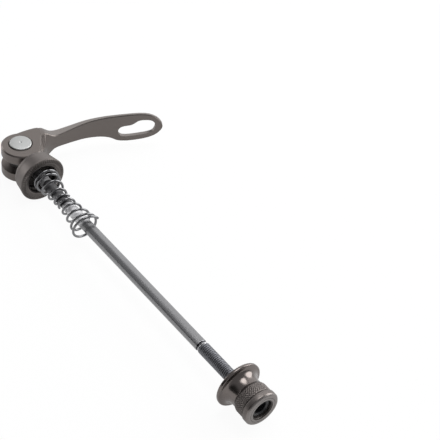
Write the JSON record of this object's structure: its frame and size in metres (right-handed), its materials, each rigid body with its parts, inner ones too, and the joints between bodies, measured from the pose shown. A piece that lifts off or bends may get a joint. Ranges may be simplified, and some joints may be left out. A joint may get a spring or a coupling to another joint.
{
  "type": "quick release skewer",
  "caption": "Quick release skewer: cam lever with an open loop on a pivot pin, domed cup, threaded rod, two conical springs and a knurled adjusting nut.",
  "frame": {"origin": "middle of the lever side clamping face, on the axis of the rod", "axes": "+X along the rod towards the nut, +Y the way the closed lever points, +Z along the pivot pin, upwards"},
  "size_m": [0.1663, 0.0723, 0.0198],
  "materials": {
    "grey_metal": "satin",
    "pin_steel": "satin",
    "rod_steel": "satin",
    "spring_steel": "gloss",
    "black_nylon": "matte",
    "dark_bearing": "matte"
  },
  "bodies": {
    "rod_and_pin": {"rod": "rod_steel", "pivot_pin": "pin_steel"},
    "lever": {"lever": "grey_metal"},
    "cup": {"cup": "grey_metal", "cam_washer": "dark_bearing", "lever_spring": "spring_steel"},
    "nut_spring": {"nut_spring": "spring_steel"},
    "nut_carrier": {"nut_insert": "black_nylon"},
    "nut": {"nut": "grey_metal"}
  },
  "joints": [
    {"name": "lever_hinge", "type": "hinge", "parent": "rod_and_pin", "child": "lever", "pos_m": [-0.01746, 0, 0], "axis": [0, 0, 1], "range_deg": [0, 180]},
    {"name": "cup_slide", "type": "slide", "parent": "rod_and_pin", "child": "cup", "axis": [1, 0, 0], "range_m": [-0.0022, 0]},
    {"name": "nut_spring_slide", "type": "slide", "parent": "rod_and_pin", "child": "nut_spring", "axis": [1, 0, 0], "range_m": [0, 0.068]},
    {"name": "nut_travel", "type": "slide", "parent": "rod_and_pin", "child": "nut_carrier", "axis": [1, 0, 0], "range_m": [-0.02481, 0.00241]},
    {"name": "nut_turn", "type": "hinge", "parent": "nut_carrier", "child": "nut", "pos_m": [0.12726, 0, 0], "axis": [1, 0, 0], "range_deg": [-11160, 1080]}
  ],
  "couplings": [
    {"joint": "cup_slide", "follows": "lever_hinge", "m_per_rad": -0.0007},
    {"joint": "nut_travel", "follows": "nut_turn", "m_per_rad": 0.00012732}
  ]
}
